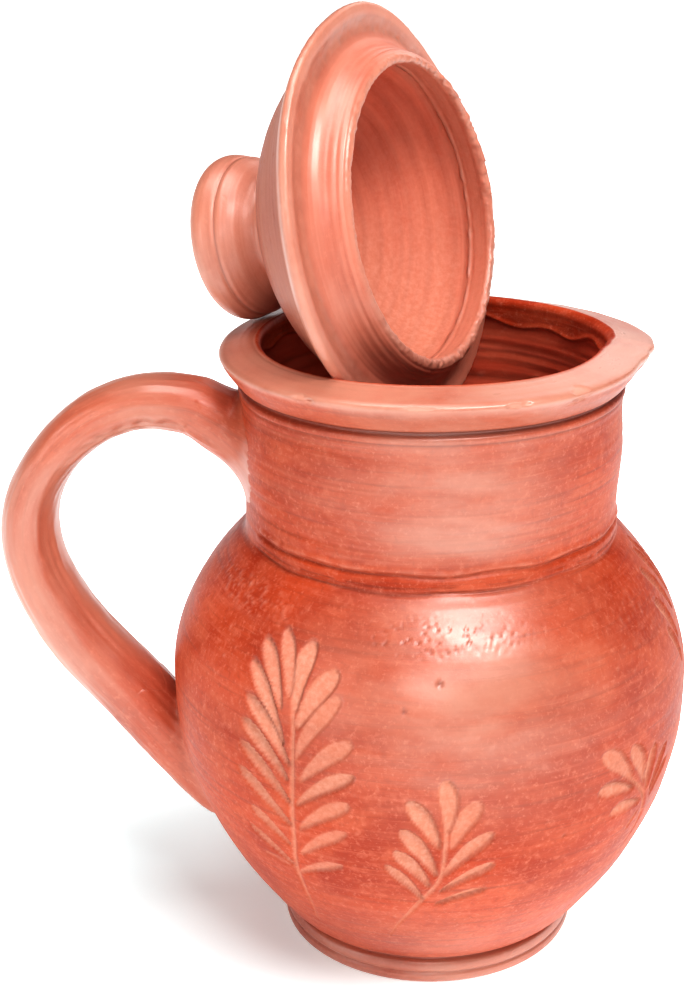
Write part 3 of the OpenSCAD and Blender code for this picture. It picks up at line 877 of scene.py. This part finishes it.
LID = [
    [0, 52], [6, 52.2], [12, 53], [16.5, 54.4], [19.8, 55], [22, 54.2], [23.3, 52.4], [23.6, 50.4], [23.2, 48.4], [22.7, 46.9], [22.05, 46.2], [22.35, 45.4], [21.6, 43.6], [20, 41.2], [17.8, 38.8], [16.5, 36.6],
    [16.8, 34.5], [20, 32.6], [25, 30.2], [30, 27.4], [35, 24], [40, 19.8], [45, 14.6], [50, 9], [54, 5], [56.2, 3.2], [57, 2.3], [57.1, 1.2], [56.6, 0.25], [55.6, 0], [54, 0.1], [52.8, 0.5], [51, 0.75], [49.2, 0.5], [47.6, -0.1],
    [46.3, -1.4], [45.2, -3.4], [44.1, -5.8], [43, -7.7], [41.8, -8.5], [40.4, -8.4], [39.9, -7.7], [40.2, -5.6], [40.8, -2.6], [41.2, 0],
    [40.6, 3.6], [38, 9.6], [33, 16.6], [26, 22.4], [18, 26.4], [10, 28.4], [0, 29],
]
lid = Outline(LID, 10)
L_KNOB = lid.find(16.8, 34.5)
L_FLANGE = lid.find(47.6, -0.1)
L_IN = lid.find(41.2, 0, lid.find(40.4, -8.4))
L_EDGE = lid.find(57.1, 1.2)
L_LIP = lid.find(40.9, -8.6)
L_CREASE = lid.find(22.05, 46.2)


def lid_wall(az, s):
    """az 0 is the side that is up as the lid stands in the mouth."""
    r, z = lid.at(s)
    nr, nz = lid.normal(s)
    az = wrap(az)
    deg = az / RAD
    fine = grain(az, s, 40, 1.2, 201, 3)
    ring = ripples(202, az, s, (-1, 1), (1.2, 5), 22) * (0.65 + 0.35 * ripples(203, az, s, (1, 4), (15, 50), 8))
    round_ = smooth(1, 10, r)
    d = round_ * (0.018 * ring + 0.012 * fine + 0.16 * ripples(204, az, s, (1, 3), (40, 140), 8))
    chip, shade, bare, carve = (np.zeros_like(az) for _ in range(4))
    mid = float(np.mean(s))
    if mid < L_KNOB + 1:
        # painted shade in the knob's crease and in the pit below it
        crease = gauss(s - L_CREASE, 0.42)
        d = d - 0.25 * crease
        shade = np.maximum(shade, 0.6 * crease)
        x = (wrap(az - 62 * RAD)) * 20
        pit = np.hypot(x, s - lid.find(20.6, 42.0))
        d = d - 0.5 * gauss(pit, 0.9) + 0.3 * gauss(pit - 1.3, 0.4)
        shade = np.maximum(shade, 0.6 * gauss(pit, 0.8))
        burr = spots(az, s, 20, 4.5, 0.2, (0.3, 0.7), 211)
        d = d + 0.16 * burr
        chip = np.maximum(chip, 0.5 * burr)
    elif mid < L_FLANGE + 0.5:
        d = d + 0.02 * ring * smooth(46, 52, r)
        # the flange is a little out of round: longer at the top, shorter to either side of it
        oval = 0.9 * gauss(deg + 85, 62) + 0.45 * gauss(deg + 46, 20) - 2.7 * gauss(deg - 50, 25) + 0.2 * ripples(212, az, 0 * az, (3, 9), (50, 60), 8)
        on_rim = smooth(46, 55, r)
        torn = lattice(az / (2 * math.pi) * 130, 0 * az, 130, 213)
        edge = gauss(s - L_EDGE, 1.6)
        r = r + oval * on_rim
        torn2 = lattice(az / (2 * math.pi) * 37, 0 * az, 37, 218)
        nick = spots(az, s, 57, 2.4, 0.35, (0.3, 0.8), 217)
        d = d - 0.22 * edge * nick - 0.10 * edge * smooth(0.5, 0.9, torn) + 0.05 * edge * fine
        chip = np.maximum(chip, edge * (0.12 + 0.25 * torn2 + 0.3 * nick))
        under = smooth(L_EDGE + 3.2, L_EDGE + 4.4, s) * smooth(L_FLANGE - 0.2, L_FLANGE - 2.6, s)
        rough = grain(az, s, 50, 2.2, 214, 3)
        d = d + under * (0.16 * rough + 0.05 * fine)
        crumbs = spots(az, s, 50, 2.6, 0.5, (0.4, 1.0), 215) * under * (0.25 + 0.75 * gauss(wrap(az - 20 * RAD) / RAD, 30))
        d = d + 0.35 * crumbs
        chip = np.maximum(chip, 0.6 * crumbs)
        # painted shade on the underside of the flange
        shade = np.maximum(shade, under * (0.30 + 0.15 * rough))
        # painted shade on the outside of the dome
        top = smooth(L_EDGE - 3.5, L_EDGE - 6, s)
        shade = np.maximum(shade, 0.46 * top)
        burr = spots(az, s, 45, 6, 0.2, (0.4, 0.9), 216) * top
        d = d + 0.2 * burr
        chip = np.maximum(chip, 0.5 * burr)
    if L_FLANGE - 2 < mid < L_IN + 2:
        groove = ripples(221, az, s, (0, 0), (1.1, 3.0), 14)
        out_side = smooth(L_LIP - 1.0, L_LIP - 2.2, s)
        d = d + (0.012 + 0.04 * smooth(L_LIP - 5.5, L_LIP - 3.2, s) + 0.03 * gauss(wrap(az + 125 * RAD) / RAD, 40)) * groove * out_side
        rag = lattice(az / (2 * math.pi) * 120, s / 2.0, 120, 222)
        where = 0.25 + 0.65 * gauss(wrap(az - 50 * RAD) / RAD, 58) + 0.65 * gauss(wrap(az - 178 * RAD) / RAD, 36)
        crest = gauss(s - L_LIP, 1.5)
        d = d - 0.85 * crest * where * smooth(0.4, 0.95, rag) + 0.22 * crest * fine
        # painted shade in the pits along the ring's lip
        pit = spots(az, s, 41, 1.7, 0.42, (0.25, 0.6), 223) * gauss(s - L_LIP, 2.0) * np.clip(where, 0, 1)
        d = d - 0.55 * pit
        shade = np.maximum(shade, 0.6 * pit)
        burr = spots(az, s, 41, 3.2, 0.3, (0.3, 0.8), 224) * gauss(s - L_LIP - 1.0, 2.2)
        d = d + 0.4 * burr
        chip = np.maximum(chip, np.clip(0.35 * crest + 0.5 * burr, 0, 1))
        # the seam inside, between the ring and the dome, was never smoothed
        tear = lattice(az / (2 * math.pi) * 90, 0 * az + 5.2, 90, 226)
        hair = gauss(s - L_IN + 0.9 - 0.5 * (tear - 0.5) - 0.2 * ripples(225, az, 0 * az, (2, 9), (50, 60), 8), 0.42)
        d = d - 0.55 * hair * (0.3 + 0.7 * tear)
        # painted shade in the seam
        shade = np.maximum(shade, 0.9 * hair * (0.25 + 0.75 * tear))
        d = d + 0.25 * gauss(s - L_IN + 2.0, 0.7) * tear
        # painted shade in patches along the lip's crest
        shade = np.maximum(shade, 0.45 * crest * where * smooth(0.45, 0.8, grain(az, s, 41, 0.9, 227, 2) * 0.5 + 0.5))
        # painted light: the inner wall of the ring, between its lip and the seam, is painted paler
        carve = carve + 0.35 * smooth(L_LIP + 1.0, L_LIP + 2.5, s) * smooth(L_IN + 0.1, L_IN - 0.5, s)
        bare = np.maximum(bare, 0.25 * out_side)
    if mid > L_IN:
        d = d + round_ * 0.035 * ripples(231, az, s, (-1, 1), (2.5, 8), 14)
        d = d + 0.25 * gauss(s - L_IN - 4.5, 1.0) * smooth(60, 20, np.abs(wrap(az + 75 * RAD)) / RAD)
        # painted shade in the hollows of the rings inside the dome
        shade = np.maximum(shade, 0.10 * smooth(0.2, -1.3, ripples(231, az, s, (-1, 1), (2.5, 8), 14)) * round_)
        # painted light and shade inside the dome: the lower side, where the light falls in, is painted paler, and the
        # side that is up, which is in shade, is painted a deeper red
        up_side = 0.5 + 0.5 * np.cos(az - 0.15)
        carve = carve + (0.9 - 0.85 * up_side * smooth(6, 24, r)) * smooth(L_IN, L_IN + 3, s)
        bare = np.maximum(bare, 0.7 * up_side * smooth(6, 24, r) * smooth(L_IN, L_IN + 3, s))
    radius = r + nr * d
    height = z + nz * d
    p = np.stack([radius * np.cos(az), radius * np.sin(az), height], -1)
    # gloss and painted sheen: palest and glossiest along the flange's edge, where a painted highlight lies, then the
    # knob, ring and flange, much less on the outside of the dome and inside
    rubbed = 0.70 - 0.62 * smooth(L_KNOB - 1, L_KNOB + 2, s) * smooth(L_EDGE - 2.5, L_EDGE - 5, s) - 0.50 * smooth(L_IN, L_IN + 3, s) + 0.25 * gauss(s - L_EDGE, 2.5) + 0 * az
    return p, {"grain": p * 0.001 + 0.4, "carve": np.clip(carve, 0, 1), "chip": np.clip(chip, 0, 1), "shade": np.clip(shade, 0, 1), "bare": np.clip(bare, 0, 1), "rubbed": rubbed}


cz, sz = math.cos(-25.2 * RAD), math.sin(-25.2 * RAD)
cy, sy = math.cos(-102 * RAD), math.sin(-102 * RAD)
SET = np.array([[cz, -sz, 0], [sz, cz, 0], [0, 0, 1]]) @ np.array([[cy, 0, sy], [0, 1, 0], [-sy, 0, cy]])
AT = np.array([-8.8, 3.6, 215.4])


def placed(rings):
    rings.points = [p @ SET.T + AT for p in rings.points]
    rings.normals = [n @ SET.T for n in rings.normals]
    return rings


def centre(rings, z, nz_, v):
    p = np.array([[0.0, 0.0, z]])
    z1 = np.zeros(1)
    rings.add(p, np.array([[0.0, 0.0, nz_]]), {"grain": p * 0.001 + 0.4, "carve": z1, "chip": z1, "shade": z1, "bare": z1, "rubbed": z1 + 0.6}, v)


LC = columns(480)
g = Rings()
centre(g, 52, 1, 0.0)
add_band(g, lid_wall, LC[::2], rows(lid, 1.0, L_KNOB, 0.5, [(L_CREASE, 1.2, 1.6)]), -1, 0.02, 0.85)
g.cap()
centre(g, 34.5, -1, 1.0)
knob = placed(g).mesh("lid_knob_pull", False)

g = Rings()
centre(g, 34.5, 1, 0.0)
g.cap()
add_band(g, lid_wall, LC, rows(lid, L_KNOB, L_FLANGE, 0.62, [(L_EDGE, 3.0, 1.5)]), -1, 0.06, 0.62)
g.cap()
add_band(g, lid_wall, LC[::2], rows(lid, L_IN, lid.length - 1.0, 0.8), -1, 0.66, 0.98)
centre(g, 29, -1, 1.0)
dome = placed(g).mesh("lid_dome_flange", False)

g = Rings()
add_band(g, lid_wall, LC, rows(lid, L_FLANGE, L_IN, 0.34), -1, 0.0, 0.95)
g.cap()
collar = placed(g).mesh("lid_collar_ring", True)

# ---------------------------------------------------------------- clay


def clay(name, pale, dull):
    """Burnished red slip over a paler body. pale: how far the whole piece leans to the bare body's colour; dull: extra roughness."""
    m = bpy.data.materials.new(name)
    m.use_nodes = True
    nt = m.node_tree
    nt.nodes.clear()
    new = nt.nodes.new
    link = nt.links.new

    def attr(key):
        n = new("ShaderNodeAttribute")
        n.attribute_name = key
        return n

    def scaled(v, x, y, z):
        n = new("ShaderNodeVectorMath")
        n.operation = "MULTIPLY"
        link(v, n.inputs[0])
        n.inputs[1].default_value = (x, y, z)
        return n.outputs[0]

    def noise(v, scale, detail, rough=0.55, distort=0.0):
        n = new("ShaderNodeTexNoise")
        link(v, n.inputs["Vector"])
        n.inputs["Scale"].default_value = scale
        n.inputs["Detail"].default_value = detail
        n.inputs["Roughness"].default_value = rough
        n.inputs["Distortion"].default_value = distort
        return n.outputs["Fac"]

    def span(v, a, b, c=0.0, d=1.0):
        n = new("ShaderNodeMapRange")
        n.clamp = True
        link(v, n.inputs["Value"])
        for k, x in zip(("From Min", "From Max", "To Min", "To Max"), (a, b, c, d)):
            n.inputs[k].default_value = x
        return n.outputs["Result"]

    def math_(op, a, b):
        n = new("ShaderNodeMath")
        n.operation = op
        for i, x in enumerate((a, b)):
            if isinstance(x, (int, float)):
                n.inputs[i].default_value = x
            else:
                link(x, n.inputs[i])
        return n.outputs[0]

    def mix(fac, a, b, kind="MIX"):
        n = new("ShaderNodeMix")
        n.data_type = "RGBA"
        n.blend_type = kind
        if isinstance(fac, (int, float)):
            n.inputs[0].default_value = fac
        else:
            link(fac, n.inputs[0])
        for i, x in ((6, a), (7, b)):
            if isinstance(x, tuple):
                n.inputs[i].default_value = (*x, 1)
            else:
                link(x, n.inputs[i])
        return n.outputs[2]

    where = attr("grain").outputs["Vector"]
    blotch = noise(scaled(where, 26, 26, 40), 1.0, 3.0, 0.5, 0.6)
    cloud = noise(scaled(where, 70, 70, 130), 1.0, 3.0, 0.55, 0.4)
    streak = noise(scaled(where, 22, 22, 620), 1.0, 4.0, 0.6, 0.25)
    thin = noise(scaled(where, 60, 60, 1500), 1.0, 3.0, 0.6)
    dust = noise(where, 900, 3.0, 0.6)
    speck = noise(where, 2300, 2.0, 0.5)
    deep, warm, soft = (0.43, 0.044, 0.010), (0.58, 0.082, 0.022), (0.64, 0.150, 0.070)
    c = mix(span(blotch, 0.36, 0.62), deep, warm)
    c = mix(math_("MULTIPLY", span(cloud, 0.42, 0.68), 0.55), c, soft)
    c = mix(math_("MULTIPLY", span(streak, 0.56, 0.72), 0.42), c, (0.68, 0.185, 0.105))
    c = mix(math_("MULTIPLY", span(streak, 0.46, 0.30), 0.55), c, (0.32, 0.038, 0.014))
    c = mix(math_("MULTIPLY", span(thin, 0.60, 0.74), 0.22), c, (0.76, 0.28, 0.18))
    fleck = noise(where, 420, 4.0, 0.62, 0.5)
    c = mix(math_("MULTIPLY", span(fleck, 0.53, 0.70), 0.38), c, (0.70, 0.215, 0.130))
    c = mix(math_("MULTIPLY", span(fleck, 0.46, 0.32), 0.40), c, (0.38, 0.045, 0.014))
    c = mix(math_("MULTIPLY", span(dust, 0.56, 0.72), 0.40), c, (0.76, 0.29, 0.19))
    c = mix(math_("MULTIPLY", span(speck, 0.33, 0.26), 0.35), c, (0.30, 0.07, 0.04))
    rubbed = attr("rubbed").outputs["Fac"]
    # painted sheen: the gloss mask, broken up by noise, also paints the colour paler, standing in for the soft
    # highlight; it lowers the roughness and sets the coat as well
    wear_and_sheen = math_("MULTIPLY", rubbed, span(noise(scaled(where, 30, 30, 90), 1.0, 4.0, 0.6, 0.3), 0.25, 0.62, 0.35, 1.0))
    c = mix(math_("MULTIPLY", wear_and_sheen, 0.85), c, (0.64, 0.280, 0.190))
    if pale:
        c = mix(span(math_("ADD", math_("MULTIPLY", streak, 0.6), math_("MULTIPLY", cloud, 0.4)), 0.36, 0.62, pale * 0.55, min(1.0, pale * 1.5)), c, (0.72, 0.320, 0.225))
    bare = attr("bare").outputs["Fac"]
    inner = mix(span(noise(scaled(where, 40, 40, 260), 1.0, 4.0), 0.35, 0.68), (0.62, 0.095, 0.045), (0.82, 0.190, 0.100))
    c = mix(math_("MULTIPLY", bare, 0.8), c, inner)
    carve = attr("carve").outputs["Fac"]
    cutclay = mix(span(noise(where, 700, 4.0, 0.65), 0.38, 0.66), (0.72, 0.310, 0.205), (0.80, 0.410, 0.300))
    c = mix(math_("MULTIPLY", carve, 0.85), c, cutclay)
    chip = attr("chip").outputs["Fac"]
    c = mix(math_("MULTIPLY", chip, 0.65), c, (0.80, 0.40, 0.30))
    # painted shade: the shade mask darkens the colour towards near black in grooves, pits, cracks, seams and undersides
    shade = attr("shade").outputs["Fac"]
    c = mix(math_("MULTIPLY", shade, 0.75), c, (0.22, 0.04, 0.02))
    b = new("ShaderNodeBsdfPrincipled")
    link(c, b.inputs["Base Color"])
    rough = span(cloud, 0.3, 0.75, 0.36 + dull, 0.48 + dull)
    rough = math_("ADD", rough, math_("MULTIPLY", wear_and_sheen, -0.10))
    rough = math_("ADD", rough, span(streak, 0.3, 0.7, -0.04, 0.06))
    rough = math_("ADD", rough, math_("MULTIPLY", carve, 0.30))
    rough = math_("ADD", rough, math_("MULTIPLY", chip, 0.18))
    rough = math_("ADD", rough, math_("MULTIPLY", bare, 0.22))
    link(math_("MINIMUM", rough, 0.95), b.inputs["Roughness"])
    # where the pebble went over it more, the slip is denser and shines more
    b.inputs["Specular IOR Level"].default_value = 0.22
    link(math_("MAXIMUM", math_("SUBTRACT", math_("MINIMUM", math_("MULTIPLY", wear_and_sheen, 1.15), 0.9), math_("ADD", carve, math_("MULTIPLY", chip, 0.4))), 0.0), b.inputs["Coat Weight"])
    b.inputs["Coat Roughness"].default_value = 0.38
    b.inputs["Coat IOR"].default_value = 1.95
    h = math_("ADD", math_("MULTIPLY", thin, 0.22), math_("MULTIPLY", streak, 0.5))
    h = math_("ADD", h, math_("MULTIPLY", dust, 0.45))
    h = math_("ADD", h, math_("MULTIPLY", fleck, 0.7))
    h = math_("ADD", h, math_("MULTIPLY", span(speck, 0.36, 0.26), -0.25))
    h = math_("ADD", h, math_("MULTIPLY", math_("MULTIPLY", math_("MAXIMUM", carve, chip), noise(where, 800, 4.0, 0.7)), 0.7))
    bump = new("ShaderNodeBump")
    bump.inputs["Strength"].default_value = 0.55
    bump.inputs["Distance"].default_value = 0.00016
    link(h, bump.inputs["Height"])
    link(bump.outputs["Normal"], b.inputs["Normal"])
    o = new("ShaderNodeOutputMaterial")
    link(b.outputs[0], o.inputs["Surface"])
    return m


burnished = clay("burnished_clay", 0.0, 0.0)
lid_clay = clay("bare_clay", 0.55, 0.04)

for ob, body, mat, slot, nodes in (
    (foot, "jug", burnished, "burnished_clay", ["foot"]),
    (belly, "jug", burnished, "burnished_clay", ["belly"]),
    (neck, "jug", burnished, "burnished_clay", ["neck"]),
    (rim, "jug", burnished, "burnished_clay", ["rim"]),
    (handle, "jug", burnished, "burnished_clay", ["handle"]),
    (upper_lute, "jug", burnished, "burnished_clay", ["upper_lute"]),
    (lower_lute, "jug", burnished, "burnished_clay", ["lower_lute"]),
    (dome, "lid", lid_clay, "bare_clay", ["lid_dome"]),
    (collar, "lid", lid_clay, "bare_clay", ["lid_collar"]),
    (knob, "lid", lid_clay, "bare_clay", ["lid_knob"]),
):
    ob.data.materials.append(mat)
    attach(ob, body)
    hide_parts(*nodes)

# ---------------------------------------------------------------- floor, light, camera

me = bpy.data.meshes.new("floor")
me.from_pydata([(-6, -6, 0), (6, -6, 0), (6, 10, 0), (-6, 10, 0)], [], [(0, 1, 2, 3)])
floor = bpy.data.objects.new("floor", me)
bpy.context.scene.collection.objects.link(floor)
fm = bpy.data.materials.new("floor")
fm.use_nodes = True
fb = fm.node_tree.nodes["Principled BSDF"]
# the floor is tinted pale cyan, which takes the red out of the light the jug throws on it
fb.inputs["Base Color"].default_value = (0.76, 0.90, 0.92, 1)
fb.inputs["Roughness"].default_value = 0.9
fb.inputs["Specular IOR Level"].default_value = 0.1
fb.inputs["Emission Color"].default_value = (1, 1, 1, 1)
# painted light and shadow: the floor glows, dimmer in a small patch beside the jug's foot, which stands for the jug's
# shadow, and at full strength further out, so that it stays white to the edge of the picture
fc = fm.node_tree.nodes.new("ShaderNodeTexCoord")
fl = fm.node_tree.nodes.new("ShaderNodeVectorMath")
fl.operation = "LENGTH"
fs = fm.node_tree.nodes.new("ShaderNodeVectorMath")
fs.operation = "SUBTRACT"
fs.inputs[1].default_value = (-0.055, 0.005, 0)
fm.node_tree.links.new(fc.outputs["Object"], fs.inputs[0])
fm.node_tree.links.new(fs.outputs["Vector"], fl.inputs[0])
fr = fm.node_tree.nodes.new("ShaderNodeMapRange")
fr.interpolation_type = "SMOOTHSTEP"
for k, x in zip(("From Min", "From Max", "To Min", "To Max"), (0.035, 0.135, 0.34, 1.0)):
    fr.inputs[k].default_value = x
fm.node_tree.links.new(fl.outputs["Value"], fr.inputs["Value"])
# and it glows less in front of the jar, a painted shade on the floor there
fx = fm.node_tree.nodes.new("ShaderNodeSeparateXYZ")
fy = fm.node_tree.nodes.new("ShaderNodeMapRange")
fy.interpolation_type = "SMOOTHSTEP"
for k, x in zip(("From Min", "From Max", "To Min", "To Max"), (-0.30, -0.07, 0.40, 1.0)):
    fy.inputs[k].default_value = x
ft = fm.node_tree.nodes.new("ShaderNodeMath")
ft.operation = "MULTIPLY"
fm.node_tree.links.new(fc.outputs["Object"], fx.inputs[0])
fm.node_tree.links.new(fx.outputs["Y"], fy.inputs["Value"])
fm.node_tree.links.new(fr.outputs["Result"], ft.inputs[0])
fm.node_tree.links.new(fy.outputs["Result"], ft.inputs[1])
fm.node_tree.links.new(ft.outputs[0], fb.inputs["Emission Strength"])
me.materials.append(fm)


def lamp(name, at, aim, power, width, height, colour=(1, 1, 1)):
    data = bpy.data.lights.new(name, "AREA")
    data.shape = "RECTANGLE"
    data.size, data.size_y = width, height
    data.energy = power
    data.color = colour
    ob = bpy.data.objects.new(name, data)
    bpy.context.scene.collection.objects.link(ob)
    a, t = np.array(at, float), np.array(aim, float)
    z = (a - t) / np.linalg.norm(a - t)
    x = np.cross([0, 0, 1.0], z)
    x /= np.linalg.norm(x)
    y = np.cross(z, x)
    ob.matrix_world = Matrix([[x[0], y[0], z[0], a[0]], [x[1], y[1], z[1], a[1]], [x[2], y[2], z[2], a[2]], [0, 0, 0, 1]])
    return ob


lamp("key", (0.42, -0.70, 1.28), (0.01, -0.05, 0.13), 15.0, 0.70, 0.34)
lamp("front", (-0.04, -1.32, 0.78), (0, 0, 0.13), 3.3, 0.4, 0.4)
lamp("top", (-0.15, 0.0, 1.5), (0, 0, 0.15), 9.0, 0.8, 0.8)
lamp("left", (-1.15, -0.95, 0.55), (0, 0, 0.20), 3.6, 0.14, 0.8)
lamp("back", (0.5, 1.2, 0.9), (0, 0, 0.12), 3, 0.8, 0.8)

world = bpy.data.worlds.new("world")
bpy.context.scene.world = world
world.use_nodes = True
bg = world.node_tree.nodes["Background"]
bg.inputs["Color"].default_value = (1, 1, 1, 1)
# a pale sweep low down all round, which fades out above the jar
wn, wl = world.node_tree.nodes.new, world.node_tree.links.new
wc, wx, wr = wn("ShaderNodeTexCoord"), wn("ShaderNodeSeparateXYZ"), wn("ShaderNodeMapRange")
wr.interpolation_type = "SMOOTHSTEP"
for k, x in zip(("From Min", "From Max", "To Min", "To Max"), (0.03, 0.24, 1.0, 0.06)):
    wr.inputs[k].default_value = x
wl(wc.outputs["Generated"], wx.inputs[0])
wl(wx.outputs["Z"], wr.inputs["Value"])
wl(wr.outputs["Result"], bg.inputs["Strength"])

scene = bpy.context.scene
scene.view_settings.view_transform = "Standard"
scene.view_settings.look = "None"
scene.view_settings.exposure = 0.07
scene.view_settings.gamma = 0.76

cam = bpy.data.cameras.new("camera")
cam.lens = 64.8
cam.sensor_width = 36
cam.sensor_fit = "AUTO"
cam.clip_start, cam.clip_end = 0.01, 50
camera = bpy.data.objects.new("camera", cam)
scene.collection.objects.link(camera)
scene.camera = camera
D, EL, ROLL, HT = 518.32, 20.828 * RAD, -0.3947 * RAD, 132.24
A, B = math.atan(85.164 / 1800), math.atan(4.687 / 1800)
right, up, fwd = np.array([1.0, 0, 0]), np.array([0, math.sin(EL), math.cos(EL)]), np.array([0, math.cos(EL), -math.sin(EL)])
right, fwd = math.cos(A) * right + math.sin(A) * fwd, -math.sin(A) * right + math.cos(A) * fwd
up, fwd = math.cos(B) * up - math.sin(B) * fwd, math.sin(B) * up + math.cos(B) * fwd
right, up = math.cos(ROLL) * right - math.sin(ROLL) * up, math.sin(ROLL) * right + math.cos(ROLL) * up
x, y, z = right, up, -fwd
camera.matrix_world = Matrix(
    [
        [x[0], y[0], z[0], 0.0],
        [x[1], y[1], z[1], -D * math.cos(EL) * 0.001],
        [x[2], y[2], z[2], (HT + D * math.sin(EL)) * 0.001],
        [0, 0, 0, 1],
    ]
)
